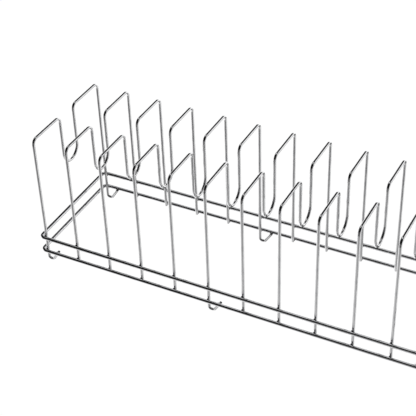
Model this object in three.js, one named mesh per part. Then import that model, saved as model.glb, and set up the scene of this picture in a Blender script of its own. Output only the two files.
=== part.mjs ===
// Dish drying rack, bent and welded from round steel wire and then chrome plated.
// Two rectangular ring wires carry a row of M-shaped divider wires. Each divider wire runs up the
// front, over a front peak, down into a trough, over a rear peak and down the rear. Plates stand in
// the slots between neighbouring dividers. The first, the sixth and the last divider run on below
// the lower ring and fold back up to it, which makes the six feet.
//
// Millimetres. +X runs along the row of dividers, -Y is the front and +Z is up. The origin is on
// the surface that the rack stands on, under the middle of the rack.

import * as THREE from 'three';

// ---- Driving dimensions ----

const DIVIDER_COUNT = 12;
const DIVIDER_PITCH = 40;         // from one divider wire to the next, along X
const DIVIDER_WIRE = 3.2;         // diameter of the wire of the dividers
const RING_WIRE = 4.0;            // diameter of the wire of the two rings
const WELD_GAP = 0.3;             // clearance left between wires that are welded together

const LEG_SPREAD = 127;           // from the front legs to the rear legs, between centre lines
const TROUGH_SPREAD = 26.6;       // from the front to the rear inner leg, between centre lines
const PEAK_HEIGHT = 144;          // centre line of a peak above the centre line of the lower ring
const TROUGH_HEIGHT = 81.5;       // centre line of a trough's floor above the lower ring's
const PEAK_BEND_RADIUS = 6.5;     // centre line radius at the four corners of the M
const LEG_END_DROP = 1.6;         // how far a plain leg runs on below the lower ring's centre line

const FOOTED_DIVIDERS = [1, 6, 12];   // which dividers fold into feet, counted from -X
const FOOT_DROP = 12.4;           // lowest centre line of a foot below the lower ring's centre line
const FOOT_BEND_RADIUS = 3.0;     // centre line radius of the fold at the bottom of a foot
const FOOT_FLAT = 1.2;            // straight stretch that lies on the table
const FOOT_RETURN_ANGLE = 57;     // degrees that the returning leg leans up from the table
const FOOT_TIP_RISE = 0.6;        // tip of the returning leg above the lower ring's centre line

const RING_RISE = 18;             // from the lower ring up to the upper ring
const RING_END_OVERHANG = 5.5;    // ends of the rings beyond the outermost dividers
const RING_CORNER_RADIUS = 5.5;   // centre line radius at the ring corners

const SECTION_SIDES = 8;          // flats around a wire, with one flat facing each way
const BEND_STEP = 20;             // degrees of bend between two stations along a wire
const SAME_POINT = 0.001;         // stations nearer than this are one

// ---- Places worked out from them ----

const LOWER_RING_Z = FOOT_DROP + DIVIDER_WIRE / 2;
const RING_LEVELS = { lower_ring: LOWER_RING_Z, upper_ring: LOWER_RING_Z + RING_RISE };
const FIRST_DIVIDER_X = -DIVIDER_PITCH * (DIVIDER_COUNT - 1) / 2;
const LEG_Y = LEG_SPREAD / 2;
const TROUGH_Y = TROUGH_SPREAD / 2;
const PEAK_Z = LOWER_RING_Z + PEAK_HEIGHT;
const TROUGH_Z = LOWER_RING_Z + TROUGH_HEIGHT;
const RING_HALF_X = -FIRST_DIVIDER_X + RING_END_OVERHANG;
const RING_HALF_Y = LEG_Y + DIVIDER_WIRE / 2 + WELD_GAP + RING_WIRE / 2;

// ---- Material ----

const chrome = () => new THREE.MeshStandardMaterial({ color: 0xb9bcc0, metalness: 1, roughness: 0.12 });

// ---- Bent wire ----

/**
 * The centre line of a bent wire: straight runs joined by arcs. It is given by its corner points and
 * the bend radius at each. It keeps stations only at its two ends and along the bends, so that a
 * straight run is one clean length. The section turns with each bend and never twists.
 */
class BentWire extends THREE.Curve {
  constructor(corners, firstNormal) {
    super();
    this.stations = [];
    this.headings = [];
    this.normals = [];
    this.normal = firstNormal.clone();
    corners.forEach((corner, index) => this.addCorner(corner, corners[index - 1], corners[index + 1]));
  }

  addStation(point, heading, normal) {
    const last = this.stations.at(-1);
    if (last && last.distanceTo(point) < SAME_POINT) return;
    this.stations.push(point);
    this.headings.push(heading);
    this.normals.push(normal);
  }

  addCorner({ point, radius }, before, after) {
    const arriving = before && point.clone().sub(before.point).normalize();
    const leaving = after && after.point.clone().sub(point).normalize();
    if (!before || !after) {
      this.addStation(point, arriving || leaving, this.normal);
      return;
    }
    const bend = arriving.angleTo(leaving);
    const axis = new THREE.Vector3().crossVectors(arriving, leaving).normalize();
    const start = point.clone().addScaledVector(arriving, -radius * Math.tan(bend / 2));
    const centre = axis.clone().cross(arriving).multiplyScalar(radius).add(start);
    const steps = Math.ceil(THREE.MathUtils.radToDeg(bend) / BEND_STEP);
    const turned = (vector, step) => vector.clone().applyAxisAngle(axis, bend * step / steps);
    for (let step = 0; step <= steps; step += 1) {
      const spoke = turned(start.clone().sub(centre), step);
      this.addStation(spoke.add(centre), turned(arriving, step), turned(this.normal, step));
    }
    this.normal = turned(this.normal, steps);
  }

  getSpacedPoints() {
    return this.stations;
  }

  computeFrenetFrames() {
    const binormals = this.headings.map((heading, index) => heading.clone().cross(this.normals[index]));
    return { tangents: this.headings, normals: this.normals, binormals };
  }
}

/** A regular polygon around the wire, with flats square to the planes that the wire bends in. */
function wireSection(diameter) {
  const cornerRadius = diameter / 2 / Math.cos(Math.PI / SECTION_SIDES);
  const corners = Array.from({ length: SECTION_SIDES }, (_, index) => {
    const angle = 2 * Math.PI * (index + 0.5) / SECTION_SIDES;
    return new THREE.Vector2(cornerRadius * Math.cos(angle), cornerRadius * Math.sin(angle));
  });
  return new THREE.Shape(corners);
}

function wireMesh(name, diameter, corners, firstNormal) {
  const extrudePath = new BentWire(corners, firstNormal);
  const steps = extrudePath.stations.length - 1;
  const geometry = new THREE.ExtrudeGeometry(wireSection(diameter), { extrudePath, steps });
  const mesh = new THREE.Mesh(geometry, chrome());
  mesh.name = name;
  return mesh;
}

// ---- Rings ----

/**
 * One ring in a level plane: a rectangle with round corners. Its wire starts and ends in the middle
 * of the rear side, where the two ends butt together.
 */
function ringMesh(name, level) {
  const corner = (x, y) => ({ point: new THREE.Vector3(x, y, level), radius: RING_CORNER_RADIUS });
  return wireMesh(name, RING_WIRE, [
    corner(-WELD_GAP / 2, RING_HALF_Y),
    corner(-RING_HALF_X, RING_HALF_Y),
    corner(-RING_HALF_X, -RING_HALF_Y),
    corner(RING_HALF_X, -RING_HALF_Y),
    corner(RING_HALF_X, RING_HALF_Y),
    corner(WELD_GAP / 2, RING_HALF_Y),
  ], new THREE.Vector3(0, 0, 1));
}

// ---- Divider wires ----

/** The corners of the M, from the top of the front leg to the top of the rear leg. */
function mCorners() {
  const corner = (y, z, radius) => ({ point: new THREE.Vector3(0, y, z), radius });
  return [
    corner(-LEG_Y, PEAK_Z, PEAK_BEND_RADIUS),
    corner(-TROUGH_Y, PEAK_Z, PEAK_BEND_RADIUS),
    corner(-TROUGH_Y, TROUGH_Z, TROUGH_Y),
    corner(TROUGH_Y, TROUGH_Z, TROUGH_Y),
    corner(TROUGH_Y, PEAK_Z, PEAK_BEND_RADIUS),
    corner(LEG_Y, PEAK_Z, PEAK_BEND_RADIUS),
  ];
}

/** The lower end of a plain leg, cut off just below the lower ring. */
function legEnd(y) {
  return [{ point: new THREE.Vector3(0, y, LOWER_RING_Z - LEG_END_DROP) }];
}

/**
 * The lower end of a leg that makes a foot, from the leg outwards: down to the table, a short way
 * along it, and back up at a slant to end against the inside of the lower ring.
 */
function foot(y, side) {
  const angle = THREE.MathUtils.degToRad(FOOT_RETURN_ANGLE);
  const floorZ = LOWER_RING_Z - FOOT_DROP;
  const turnX = FOOT_BEND_RADIUS * (1 + Math.tan(angle / 2)) + FOOT_FLAT;
  const tipX = turnX + (FOOT_DROP + FOOT_TIP_RISE) / Math.tan(angle);
  const corner = (x, z) => ({ point: new THREE.Vector3(side * x, y, z), radius: FOOT_BEND_RADIUS });
  return [corner(0, floorZ), corner(turnX, floorZ), corner(tipX, LOWER_RING_Z + FOOT_TIP_RISE)];
}

/** One divider, standing in its own Y-Z plane. The last divider's feet fold inwards, to -X. */
function dividerMesh(number) {
  const side = number === DIVIDER_COUNT ? -1 : 1;
  const legFinish = FOOTED_DIVIDERS.includes(number) ? y => foot(y, side) : legEnd;
  const corners = [...legFinish(-LEG_Y).reverse(), ...mCorners(), ...legFinish(LEG_Y)];
  const name = `divider_wire_${String(number).padStart(2, '0')}`;
  const mesh = wireMesh(name, DIVIDER_WIRE, corners, new THREE.Vector3(0, 1, 0));
  mesh.position.x = FIRST_DIVIDER_X + DIVIDER_PITCH * (number - 1);
  return mesh;
}

// ---- The rack ----

const rack = new THREE.Group();
for (const [name, level] of Object.entries(RING_LEVELS)) rack.add(ringMesh(name, level));
for (let number = 1; number <= DIVIDER_COUNT; number += 1) rack.add(dividerMesh(number));

export default rack;
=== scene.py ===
import math

import bpy
import numpy as np
from mathutils import Matrix, Vector


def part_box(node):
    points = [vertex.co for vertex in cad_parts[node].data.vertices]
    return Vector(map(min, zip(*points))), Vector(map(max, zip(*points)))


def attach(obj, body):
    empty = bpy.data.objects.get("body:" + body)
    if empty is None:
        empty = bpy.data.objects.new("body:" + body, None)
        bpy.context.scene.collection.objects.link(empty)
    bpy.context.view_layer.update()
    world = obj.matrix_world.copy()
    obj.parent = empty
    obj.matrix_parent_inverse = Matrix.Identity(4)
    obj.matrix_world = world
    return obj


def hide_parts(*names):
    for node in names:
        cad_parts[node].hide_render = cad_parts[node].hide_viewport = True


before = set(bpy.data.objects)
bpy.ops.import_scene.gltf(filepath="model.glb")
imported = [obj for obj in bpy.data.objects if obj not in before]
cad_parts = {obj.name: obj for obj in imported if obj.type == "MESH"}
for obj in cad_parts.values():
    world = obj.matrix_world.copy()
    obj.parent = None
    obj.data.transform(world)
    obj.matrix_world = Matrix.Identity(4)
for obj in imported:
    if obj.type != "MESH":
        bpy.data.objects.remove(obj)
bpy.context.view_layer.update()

# A dish drying rack of chrome-plated steel wire: two rectangular rings that carry a row of M-shaped
# dividers. Everything is in metres, in the frame of the CAD model: +X along the row, -Y the front.

MM = 0.001
BODY = "root"

# ---- Places and sizes, read off the CAD nodes ----

RINGS = ("lower_ring", "upper_ring")
DIVIDERS = sorted(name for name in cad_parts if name.startswith("divider_wire"))
ring_low, ring_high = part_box("lower_ring")
plain_low, plain_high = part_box(DIVIDERS[1])

DIVIDER_RADIUS = (plain_high.x - plain_low.x) / 2
RING_RADIUS = (ring_high.z - ring_low.z) / 2
LEG_Y = plain_high.y - DIVIDER_RADIUS
PEAK_Z = plain_high.z - DIVIDER_RADIUS
LEG_END_Z = plain_low.z
FOOT_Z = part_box(DIVIDERS[0])[0].z + DIVIDER_RADIUS
RING_X = ring_high.x - RING_RADIUS
RING_Y = ring_high.y - RING_RADIUS
RING_Z = {name: (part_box(name)[0].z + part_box(name)[1].z) / 2 for name in RINGS}
WELD_Y = (LEG_Y + DIVIDER_RADIUS + RING_Y - RING_RADIUS) / 2

# ---- Bends, as the CAD model has them ----

TROUGH_Y = 13.3 * MM              # inner legs off the middle, and the radius of the trough
TROUGH_Z = RING_Z["lower_ring"] + 81.5 * MM
PEAK_BEND = 6.5 * MM
RING_BEND = 5.5 * MM
FOOT_BEND = 3.0 * MM
FOOT_FLAT = 1.2 * MM
FOOT_ANGLE = math.radians(57)
FOOT_TIP_Z = RING_Z["lower_ring"] + 0.6 * MM
BUTT_GAP = 0.3 * MM

# ---- Welds ----

NUGGET_HALF = (2.0 * MM, 1.15 * MM, 2.2 * MM)
TIP_NUGGET_HALF = (2.1 * MM, 1.1 * MM, 1.5 * MM)
TIP_NUGGET_BACK = 1.0 * MM        # from the end of a foot's centre line, along X and down
TIP_NUGGET_DROP = 0.8 * MM
NUGGET_THREE_LUMPS = 0.07         # height of three lumps round a nugget, as a share of its size
NUGGET_TILT = 0.04                # height of the lumps that lean, as a share of its size
NUGGET_POLE = 0.12                # angle off the Y axis where a nugget is closed by a flat cap
# The lumps are turned by so many radians per metre of X, so that no two nuggets look alike.
NUGGET_TURN = 97
TIP_NUGGET_TURN = 61
SEAM_HALF_LENGTH = 1.1 * MM
SEAM_SHARE = 0.985                # thickness of the dressed seam, as a share of the wire's
SEAM_TAPER = 0.03

# ---- Fineness of the new surfaces ----

WIRE_SIDES = 32
BEND_STEP = math.radians(4)       # between two stations along a bend
RUN_STEP = 8 * MM                 # between two stations along a straight run
SHORTEST = 1e-6                   # stations closer than this are one station
CUT_EDGE = 0.4 * MM               # radius that plating and tumbling leave on a cut wire end
CUT_RINGS = 5
NUGGET_ROWS = 12
NUGGET_COLUMNS = 20
SEAM_ROWS = 9


# ---- Meshes ----

def turn_once(steps):
    """Evenly spaced angles once round, without the last, which would be the first again."""
    return np.linspace(0, 2 * math.pi, steps, endpoint=False)


def closed_tube(grid):
    """
    A shell from points given as rows x columns x 3, whose columns close on themselves. Its wall has
    the faces (i, j), (i, j + 1), (i + 1, j + 1), (i + 1, j), and a flat cap closes each end. All of
    them face outwards. Returns the points, the wall's faces and the caps.
    """
    rows, columns = grid.shape[:2]
    row, column = np.meshgrid(np.arange(rows - 1), np.arange(columns), indexing="ij")
    here = row * columns + column
    beside = row * columns + (column + 1) % columns
    wall = np.stack([here, beside, beside + columns, here + columns], -1).reshape(-1, 4)
    rim = np.arange(columns)
    return grid.reshape(-1, 3), wall, np.stack([rim[::-1], rim + (rows - 1) * columns])


def new_piece(name, shells, material, replaced=()):
    """
    One object at the origin from closed shells, whose walls are smooth and whose caps are flat. It
    rides on the rack's only body.
    """
    points, walls, caps = zip(*shells)
    firsts = np.cumsum([0, *map(len, points[:-1])])
    walls = np.concatenate([wall + first for wall, first in zip(walls, firsts)])
    caps = np.concatenate([cap + first for cap, first in zip(caps, firsts)])
    mesh = bpy.data.meshes.new(name)
    mesh.from_pydata(np.concatenate(points).tolist(), [], walls.tolist() + caps.tolist())
    mesh.polygons.foreach_set("use_smooth", np.repeat([True, False], [len(walls), len(caps)]))
    mesh.materials.append(material)
    mesh.update()
    piece = bpy.data.objects.new(name, mesh)
    bpy.context.scene.collection.objects.link(piece)
    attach(piece, BODY)
    if replaced:
        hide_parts(*replaced)
    return piece


# ---- Bent wire ----

def bent_line(corners, radii, first_normal):
    """
    Stations along a bent wire through its corner points. Each inner corner is rounded by an arc:
    centre + radius * (sin t * arriving - cos t * inward), with t from 0 to the angle of the bend,
    and the heading there is cos t * arriving + sin t * inward. The normal keeps its share along the
    bend's axis, and the rest of it turns with the heading. The straight runs between arcs are
    divided evenly. Returns the points, the headings and the normals.
    """
    corners = np.asarray(corners, float)
    normal = np.asarray(first_normal, float)
    points, headings, normals = [], [], []

    def run(start, end):
        length = np.linalg.norm(end - start)
        if length > SHORTEST:
            share = np.linspace(0, 1, max(2, math.ceil(length / RUN_STEP) + 1))[:, None]
            points.append(start + share * (end - start))
            headings.append(np.repeat([(end - start) / length], len(share), 0))
            normals.append(np.repeat([normal], len(share), 0))

    start = corners[0]
    for before, corner, after, radius in zip(corners, corners[1:], corners[2:], radii):
        arriving = (corner - before) / np.linalg.norm(corner - before)
        leaving = (after - corner) / np.linalg.norm(after - corner)
        bend = math.acos(np.clip(arriving @ leaving, -1, 1))
        inward = leaving - arriving * (arriving @ leaving)
        inward /= np.linalg.norm(inward)
        axis = np.cross(arriving, inward)
        setback = radius * math.tan(bend / 2)
        run(start, corner - arriving * setback)
        centre = corner - arriving * setback + inward * radius
        t = np.linspace(0, bend, math.ceil(bend / BEND_STEP) + 1)[:, None]
        points.append(centre + radius * (np.sin(t) * arriving - np.cos(t) * inward))
        headings.append(np.cos(t) * arriving + np.sin(t) * inward)
        turned = np.cos(t) * inward - np.sin(t) * arriving
        normals.append((normal @ inward) * turned + (normal @ axis) * axis)
        normal = normals[-1][-1]
        start = corner + leaving * setback
    run(start, corners[-1])
    points, headings, normals = map(np.concatenate, (points, headings, normals))
    moved = np.linalg.norm(np.diff(points, axis=0), axis=1) > SHORTEST
    kept = np.concatenate([[True], moved])
    return points[kept], headings[kept], normals[kept]


def round_wire(corners, radii, wire_radius, first_normal):
    """
    A round wire along a bent line. Its point is station + r * (cos a * normal + sin a * binormal).
    At each end r follows a quarter circle from wire_radius - CUT_EDGE up to wire_radius, which is
    the soft edge of a cut end. Returns the shell, and each point's place on the unbent wire.
    """
    points, headings, normals = bent_line(corners, radii, first_normal)
    t = np.linspace(0, math.pi / 2, CUT_RINGS)
    back = CUT_EDGE * (1 - np.cos(t))[:, None]
    shrink = CUT_EDGE * (1 - np.sin(t))
    stations = np.clip(np.arange(1 - CUT_RINGS, len(points) + CUT_RINGS - 1), 0, len(points) - 1)
    points, headings, normals = points[stations], headings[stations], normals[stations]
    points[:CUT_RINGS] += headings[:CUT_RINGS] * back
    points[-CUT_RINGS:] -= headings[-CUT_RINGS:] * back[::-1]
    radius = np.full(len(points), wire_radius)
    radius[:CUT_RINGS] -= shrink
    radius[-CUT_RINGS:] -= shrink[::-1]
    binormals = np.cross(headings, normals)
    a = turn_once(WIRE_SIDES)
    around = np.cos(a)[:, None] * normals[:, None] + np.sin(a)[:, None] * binormals[:, None]
    grid = points[:, None] + radius[:, None, None] * around
    along = np.concatenate([[0], np.cumsum(np.linalg.norm(np.diff(points, axis=0), axis=1))])
    unbent = np.stack(np.broadcast_arrays(
        along[:, None], wire_radius * np.cos(a), wire_radius * np.sin(a)), -1)
    return closed_tube(grid), unbent.reshape(-1, 3)


def wire_piece(name, corners, radii, wire_radius, first_normal, material, node):
    """A bent wire that stands for one CAD node. It keeps its unbent places for the finish to read."""
    shell, unbent = round_wire(corners, radii, wire_radius, first_normal)
    piece = new_piece(name, [shell], material, [node])
    places = piece.data.attributes.new("unbent_place", "FLOAT_VECTOR", "POINT")
    places.data.foreach_set("vector", unbent.astype(np.float32).ravel())


# ---- The rings ----

def ring_corners(z):
    """A rectangle that starts and ends at the butt joint in the middle of the rear side."""
    return [
        (-BUTT_GAP / 2, RING_Y, z), (-RING_X, RING_Y, z), (-RING_X, -RING_Y, z),
        (RING_X, -RING_Y, z), (RING_X, RING_Y, z), (BUTT_GAP / 2, RING_Y, z),
    ]


# ---- The dividers ----

def divider_line(x, fold):
    """
    Corner points and bend radii of one M. With fold 0 the legs are cut off below the lower ring.
    With fold 1 or -1 they go down to the table and fold back up to the ring, towards that side of X.
    """
    m_shape = [
        (x, -LEG_Y, PEAK_Z), (x, -TROUGH_Y, PEAK_Z), (x, -TROUGH_Y, TROUGH_Z),
        (x, TROUGH_Y, TROUGH_Z), (x, TROUGH_Y, PEAK_Z), (x, LEG_Y, PEAK_Z),
    ]
    radii = [PEAK_BEND, PEAK_BEND, TROUGH_Y, TROUGH_Y, PEAK_BEND, PEAK_BEND]
    if not fold:
        return [(x, -LEG_Y, LEG_END_Z), *m_shape, (x, LEG_Y, LEG_END_Z)], radii
    turn_x = x + fold * (FOOT_BEND * (1 + math.tan(FOOT_ANGLE / 2)) + FOOT_FLAT)
    tip_x = turn_x + fold * (FOOT_TIP_Z - FOOT_Z) / math.tan(FOOT_ANGLE)
    front, rear = (
        [(x, y, FOOT_Z), (turn_x, y, FOOT_Z), (tip_x, y, FOOT_TIP_Z)] for y in (-LEG_Y, LEG_Y))
    return front[::-1] + m_shape + rear, [FOOT_BEND] * 2 + radii + [FOOT_BEND] * 2


def divider_place(node):
    """Where a divider stands along X, and to which side its feet fold, from its CAD box."""
    low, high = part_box(node)
    if high.x - low.x < 3 * DIVIDER_RADIUS:
        return (low.x + high.x) / 2, 0
    if node == DIVIDERS[-1]:
        return high.x - DIVIDER_RADIUS, -1
    return low.x + DIVIDER_RADIUS, 1


# ---- The welds ----

def nugget(centre, half_sizes, turn):
    """
    A weld nugget: an ellipsoid whose poles lie on Y, with a few shallow lumps. In the direction
    (t, a) it is half_sizes * (sin t cos a, cos t, sin t sin a) * (1 + lumps), and the lumps are
    NUGGET_THREE_LUMPS * sin^2 t * sin(3 a + turn) + NUGGET_TILT * sin 2t * cos(2 a - turn).
    """
    t = np.linspace(NUGGET_POLE, math.pi - NUGGET_POLE, NUGGET_ROWS)[:, None]
    a = turn_once(NUGGET_COLUMNS)[None]
    lumps = NUGGET_THREE_LUMPS * np.sin(t) ** 2 * np.sin(3 * a + turn)
    lumps = lumps + NUGGET_TILT * np.sin(2 * t) * np.cos(2 * a - turn)
    shape = np.stack([np.sin(t) * np.cos(a), np.cos(t) * np.ones_like(a), np.sin(t) * np.sin(a)], -1)
    return closed_tube(centre + shape * (1 + lumps)[..., None] * half_sizes)


def butt_seam(z):
    """
    The dressed seam where a ring's two ends meet: a short collar along X whose radius is
    wire * (SEAM_SHARE - SEAM_TAPER * u^4), with u from -1 to 1 along its length.
    """
    u = np.linspace(-1, 1, SEAM_ROWS)[:, None]
    a = turn_once(WIRE_SIDES)[None]
    radius = RING_RADIUS * (SEAM_SHARE - SEAM_TAPER * u ** 4)
    x = u * SEAM_HALF_LENGTH * np.ones_like(a)
    return closed_tube(np.stack([x, RING_Y + radius * np.cos(a), z + radius * np.sin(a)], -1))


# ---- Materials ----

def linear(hex_colour):
    """sRGB hex to linear red, green, blue and alpha."""
    parts = [int(hex_colour[i:i + 2], 16) / 255 for i in (1, 3, 5)]
    return (*[p / 12.92 if p <= 0.04045 else ((p + 0.055) / 1.055) ** 2.4 for p in parts], 1.0)


def add(tree, kind, inputs=None, **settings):
    """Adds a node, sets its settings, and sets or links its inputs: a socket is linked."""
    node = tree.nodes.new(kind)
    for key, value in settings.items():
        setattr(node, key, value)
    for key, value in (inputs or {}).items():
        if isinstance(value, bpy.types.NodeSocket):
            tree.links.new(value, node.inputs[key])
        else:
            node.inputs[key].default_value = value
    return node


def new_material(name):
    material = bpy.data.materials.new(name)
    material.use_nodes = True
    material.node_tree.nodes.clear()
    return material, material.node_tree


# Grain of the finishes. Die lines are 0.02 mm apart on real drawn wire, and are drawn coarser here
# so that they show. Lines and waves are stretched along the wire by the shares below.
DIE_LINE = 0.25 * MM
DIE_LINE_STRETCH = (0.02, 1, 1)
DIE_LINE_DEPTH = 0.012 * MM
PLATE_WAVE = 2 * MM
PLATE_WAVE_STRETCH = (0.22, 1, 1)
PLATE_WAVE_DEPTH = 0.06 * MM
CLOUD = 15 * MM
WELD_PIT = 0.5 * MM
WELD_PIT_DEPTH = 0.12 * MM


def bright_chrome_on_drawn_wire(name, tint, clouded_tint):
    """
    Decorative chrome over nickel on cold-drawn steel wire. To the eye it is a near mirror with the
    faint lengthwise lines of the drawing die, a slight waviness of the plate, and clouded patches
    where the plate is a little less bright.
    """
    material, tree = new_material(name)
    place = add(tree, "ShaderNodeAttribute", attribute_name="unbent_place").outputs["Vector"]
    drawn = add(tree, "ShaderNodeMapping", {"Vector": place, "Scale": DIE_LINE_STRETCH})
    lines = add(tree, "ShaderNodeTexNoise", {
        "Vector": drawn.outputs["Vector"], "Scale": 1 / DIE_LINE, "Detail": 2.0, "Roughness": 0.5})
    waved = add(tree, "ShaderNodeMapping", {"Vector": place, "Scale": PLATE_WAVE_STRETCH})
    waves = add(tree, "ShaderNodeTexNoise", {
        "Vector": waved.outputs["Vector"], "Scale": 1 / PLATE_WAVE, "Detail": 1.0})
    clouds = add(tree, "ShaderNodeTexNoise", {"Vector": place, "Scale": 1 / CLOUD, "Detail": 3.0})
    cloud = add(tree, "ShaderNodeMapRange", {
        "Value": clouds.outputs["Fac"], "From Min": 0.45, "From Max": 0.7,
    }, interpolation_type="SMOOTHSTEP").outputs["Result"]
    # Of a colour Mix node's sockets, 0 is the factor, 6 and 7 are the colours, and output 2 is used.
    colour = add(tree, "ShaderNodeMix", {0: cloud, 6: linear(tint), 7: linear(clouded_tint)},
                 data_type="RGBA").outputs[2]
    rough = add(tree, "ShaderNodeMapRange", {"Value": cloud, "To Min": 0.045, "To Max": 0.11})
    line_bump = add(tree, "ShaderNodeBump", {
        "Height": lines.outputs["Fac"], "Strength": 0.25, "Distance": DIE_LINE_DEPTH})
    wave_bump = add(tree, "ShaderNodeBump", {
        "Height": waves.outputs["Fac"], "Strength": 0.5, "Distance": PLATE_WAVE_DEPTH,
        "Normal": line_bump.outputs["Normal"]})
    chrome = add(tree, "ShaderNodeBsdfPrincipled", {
        "Metallic": 1.0, "Base Color": colour, "Roughness": rough.outputs["Result"],
        "Normal": wave_bump.outputs["Normal"]})
    add(tree, "ShaderNodeOutputMaterial", {"Surface": chrome.outputs["BSDF"]})
    return material


def chrome_over_weld(name, tint):
    """
    Chrome over a resistance weld. The plate follows the melted, slightly pitted surface of the
    nugget, so it is duller than on the wire and its highlights break up.
    """
    material, tree = new_material(name)
    place = add(tree, "ShaderNodeTexCoord").outputs["Object"]
    pits = add(tree, "ShaderNodeTexNoise", {"Vector": place, "Scale": 1 / WELD_PIT, "Detail": 3.0})
    rough = add(tree, "ShaderNodeMapRange", {
        "Value": pits.outputs["Fac"], "From Min": 0.3, "From Max": 0.7,
        "To Min": 0.14, "To Max": 0.32})
    bump = add(tree, "ShaderNodeBump", {
        "Height": pits.outputs["Fac"], "Strength": 0.6, "Distance": WELD_PIT_DEPTH})
    chrome = add(tree, "ShaderNodeBsdfPrincipled", {
        "Metallic": 1.0, "Base Color": linear(tint), "Roughness": rough.outputs["Result"],
        "Normal": bump.outputs["Normal"]})
    add(tree, "ShaderNodeOutputMaterial", {"Surface": chrome.outputs["BSDF"]})
    return material


DIVIDER_CHROME = bright_chrome_on_drawn_wire("bright_chrome_on_thin_drawn_wire", "#d0d0d1", "#c3c3c5")
RING_CHROME = bright_chrome_on_drawn_wire("bright_chrome_on_thick_drawn_wire", "#cdcdcf", "#bfbfc1")
WELD_CHROME = chrome_over_weld("chrome_over_weld_nugget", "#b9b9ba")


# ---- The camera ----

CAMERA_AZIMUTH = -28.24           # degrees. 0 looks along +Y
CAMERA_ELEVATION = 36.90          # degrees above the table
CAMERA_ROLL = -2.157              # degrees that the picture is turned
CAMERA_DISTANCE = 1.2369
CAMERA_AIM = Vector((-0.0542, 0.0059, 0.075))
SENSOR_WIDTH = 36.0               # millimetres, as is the lens
LENS = 100.25


def direction(azimuth, elevation):
    """The unit vector (sin A cos E, cos A cos E, sin E). Azimuth 0 is +Y and 90 is +X."""
    a, e = math.radians(azimuth), math.radians(elevation)
    return Vector((math.sin(a) * math.cos(e), math.cos(a) * math.cos(e), math.sin(e)))


camera_data = bpy.data.cameras.new("camera")
camera_data.sensor_width = SENSOR_WIDTH
camera_data.lens = LENS
camera_data.clip_start = 0.05
camera_data.clip_end = 50.0
camera = bpy.data.objects.new("camera", camera_data)
bpy.context.scene.collection.objects.link(camera)
bpy.context.scene.camera = camera
camera_back = -direction(CAMERA_AZIMUTH, -CAMERA_ELEVATION)
camera_turn = camera_back.to_track_quat("Z", "Y").to_matrix()
camera_turn = camera_turn @ Matrix.Rotation(math.radians(CAMERA_ROLL), 3, "Z")
camera_place = CAMERA_AIM + camera_back * CAMERA_DISTANCE
camera.matrix_world = Matrix.Translation(camera_place) @ camera_turn.to_4x4()


# ---- The rack ----

for ring in RINGS:
    wire_piece(ring.replace("_ring", "_ring_bent_wire"), ring_corners(RING_Z[ring]), [RING_BEND] * 4,
               RING_RADIUS, (0, 0, 1), RING_CHROME, ring)

divider_xs = []
foot_tips = []
for node in DIVIDERS:
    x, fold = divider_place(node)
    corners, radii = divider_line(x, fold)
    wire_piece(node.replace("divider_wire", "divider_bent_wire"), corners, radii,
               DIVIDER_RADIUS, (0, 1, 0), DIVIDER_CHROME, node)
    divider_xs.append(x)
    if fold:
        foot_tips.append((corners[0][0] - fold * TIP_NUGGET_BACK, corners[0][2] - TIP_NUGGET_DROP))

for ring in RINGS:
    shells = [nugget((x, side * WELD_Y, RING_Z[ring]), NUGGET_HALF, x * NUGGET_TURN + side)
              for x in divider_xs for side in (-1, 1)]
    if ring == "lower_ring":
        shells += [nugget((x, side * WELD_Y, z), TIP_NUGGET_HALF, x * TIP_NUGGET_TURN + side)
                   for x, z in foot_tips for side in (-1, 1)]
    new_piece(ring.replace("_ring", "_ring_weld_nuggets"), shells, WELD_CHROME)

for ring in RINGS:
    new_piece(ring.replace("_ring", "_ring_butt_weld"), [butt_seam(RING_Z[ring])], WELD_CHROME)


# ---- The studio ----

FLOOR_HALF = 12.0
SOFTBOX_SIZE = 3.0
SOFTBOX_WATTS = 40.0
SOFTBOX_PLACE = Vector((0.4, 0.6, 2.6))

# Panels of white light that the chrome reflects. Each line gives the first and last azimuth, the
# lowest and highest height, the brightness and the softness of the edges. Angles are in degrees.
PANELS = (
    (-62, 72, -3, 15, 1.4, 7),     # the lit sweep behind and to both sides
    (33, 75, -3, 28, 1.12, 5),     # a side panel at the right
    (-28, -2, -3, 28, 1.4, 6),     # a tall panel at the rear
)
PANEL_FOOT = 2                     # softness of a panel's lower edge
ROOM = 0.015                       # brightness of the dark room
DARK_TABLE = 0.08                  # brightness of the table where nothing lights it
TABLE_LEAN = 8


def studio_floor():
    """A wide light table that the rack stands on. It glows evenly, so nothing leaves a shadow on it."""
    mesh = bpy.data.meshes.new("studio_floor")
    corners = [(x * FLOOR_HALF, y * FLOOR_HALF, 0) for x, y in ((-1, -1), (1, -1), (1, 1), (-1, 1))]
    mesh.from_pydata(corners, [], [(0, 1, 2, 3)])
    floor = bpy.data.objects.new("studio_floor", mesh)
    bpy.context.scene.collection.objects.link(floor)
    # Opal acrylic lit from below. Its own reflection is faint beside its glow.
    material, tree = new_material("backlit_opal_acrylic")
    glow = add(tree, "ShaderNodeBsdfPrincipled", {
        "Base Color": linear("#1c1c1c"), "Roughness": 0.9,
        "Emission Color": linear("#ffffff"), "Emission Strength": 1.0})
    add(tree, "ShaderNodeOutputMaterial", {"Surface": glow.outputs["BSDF"]})
    mesh.materials.append(material)
    floor.visible_glossy = False


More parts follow.
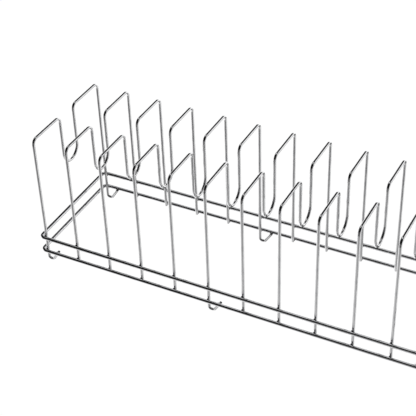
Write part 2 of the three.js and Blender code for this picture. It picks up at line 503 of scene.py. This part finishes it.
def studio_world():
    """
    What the chrome reflects: a dark room, a lit sweep behind and to both sides that rises from the
    table, a tall panel at the rear, a side panel at the right and a soft light high at the rear
    left. The table is brightest straight below and behind, and dark towards the front. The camera
    itself sees white.
    """
    world = bpy.data.worlds.new("studio")
    bpy.context.scene.world = world
    world.use_nodes = True
    tree = world.node_tree
    tree.nodes.clear()
    ray = add(tree, "ShaderNodeTexCoord").outputs["Generated"]
    axes = add(tree, "ShaderNodeSeparateXYZ", {"Vector": ray})

    def panel(first_azimuth, last_azimuth, lowest, highest, brightness, softness):
        """A white panel: its brightness times four soft edges, one for each of its sides."""
        edges = (
            (azimuth, first_azimuth - softness, first_azimuth + softness),
            (azimuth, last_azimuth + softness, last_azimuth - softness),
            (height, lowest - PANEL_FOOT, lowest + PANEL_FOOT),
            (height, highest + softness, highest - softness),
        )
        lit = brightness
        for angle, outside, inside in edges:
            edge = add(tree, "ShaderNodeMapRange", {
                "Value": angle, "From Min": outside, "From Max": inside,
            }, interpolation_type="SMOOTHSTEP").outputs["Result"]
            lit = add(tree, "ShaderNodeMath", {0: edge, 1: lit}, operation="MULTIPLY").outputs[0]
        return lit

    def round_patch(centre, outer, inner, outside, inside):
        """
        Light or shade round a direction: one value beyond the outer angle, another within the
        inner angle, and a smooth change between them.
        """
        nearness = add(tree, "ShaderNodeVectorMath", {0: ray, 1: direction(*centre)},
                       operation="DOT_PRODUCT").outputs["Value"]
        return add(tree, "ShaderNodeMapRange", {
            "Value": nearness, "From Min": math.cos(math.radians(outer)),
            "From Max": math.cos(math.radians(inner)), "To Min": outside, "To Max": inside,
        }, interpolation_type="SMOOTHSTEP").outputs["Result"]

    turned = add(tree, "ShaderNodeMath", {0: axes.outputs["X"], 1: axes.outputs["Y"]},
                 operation="ARCTAN2").outputs[0]
    azimuth = add(tree, "ShaderNodeMath", {0: turned}, operation="DEGREES").outputs[0]
    raised = add(tree, "ShaderNodeMath", {0: axes.outputs["Z"]}, operation="ARCSINE").outputs[0]
    height = add(tree, "ShaderNodeMath", {0: raised}, operation="DEGREES").outputs[0]

    soft_light = round_patch((-38, 70), 24.5, 11.5, 0.0, 1.2)
    front_glow = round_patch((178, 2), 25.8, 9.9, 0.0, 0.28)
    glows = add(tree, "ShaderNodeMath", {0: soft_light, 1: front_glow}, operation="ADD").outputs[0]
    room = add(tree, "ShaderNodeMath", {0: glows, 1: ROOM}, operation="ADD").outputs[0]
    for values in PANELS:
        room = add(tree, "ShaderNodeMath", {0: room, 1: panel(*values)}, operation="MAXIMUM").outputs[0]

    far_table = round_patch((-12.5, 0), 124.8, 85.4, DARK_TABLE, 1.5)
    # Towards one side the bright middle of the table begins up to TABLE_LEAN degrees higher.
    lean = add(tree, "ShaderNodeVectorMath", {0: ray, 1: direction(-130, 0) * -TABLE_LEAN},
               operation="DOT_PRODUCT").outputs["Value"]
    leaning = add(tree, "ShaderNodeMath", {0: height, 1: lean}, operation="ADD").outputs[0]
    middle = add(tree, "ShaderNodeMapRange", {
        "Value": leaning, "From Min": -26, "From Max": -62, "To Min": DARK_TABLE, "To Max": 1.25,
    }, interpolation_type="SMOOTHSTEP").outputs["Result"]
    near_table = add(tree, "ShaderNodeMath", {0: middle, 1: front_glow}, operation="ADD").outputs[0]
    table = add(tree, "ShaderNodeMath", {0: far_table, 1: near_table}, operation="MAXIMUM").outputs[0]
    rear_shade = round_patch((8, -46), 28.4, 15.2, 1.0, 0.06)
    right_shade = round_patch((95, -66), 27.0, 17.1, 1.0, 0.1)
    for shade in (rear_shade, right_shade):
        table = add(tree, "ShaderNodeMath", {0: table, 1: shade}, operation="MULTIPLY").outputs[0]

    # Of a number Mix node's sockets, 0 is the factor, and 2 and 3 are the numbers.
    below_horizon = add(tree, "ShaderNodeMapRange", {"Value": height, "From Min": 0, "From Max": -6},
                        interpolation_type="SMOOTHSTEP").outputs["Result"]
    seen = add(tree, "ShaderNodeMix", {0: below_horizon, 2: room, 3: table}, data_type="FLOAT").outputs[0]
    camera_ray = add(tree, "ShaderNodeLightPath").outputs["Is Camera Ray"]
    strength = add(tree, "ShaderNodeMix", {0: camera_ray, 2: seen, 3: 1.0}, data_type="FLOAT").outputs[0]
    sky = add(tree, "ShaderNodeBackground", {"Color": linear("#ffffff"), "Strength": strength})
    add(tree, "ShaderNodeOutputWorld", {"Surface": sky.outputs["Background"]})


def overhead_softbox():
    """A large soft light above. It lights the floor, and the chrome doesn't reflect it."""
    data = bpy.data.lights.new("overhead_softbox", "AREA")
    data.shape = "DISK"
    data.size = SOFTBOX_SIZE
    data.energy = SOFTBOX_WATTS
    light = bpy.data.objects.new("overhead_softbox", data)
    light.location = SOFTBOX_PLACE
    light.rotation_euler = SOFTBOX_PLACE.to_track_quat("Z", "Y").to_euler()
    light.visible_glossy = False
    bpy.context.scene.collection.objects.link(light)


studio_floor()
studio_world()
overhead_softbox()
bpy.context.scene.view_settings.view_transform = "Standard"
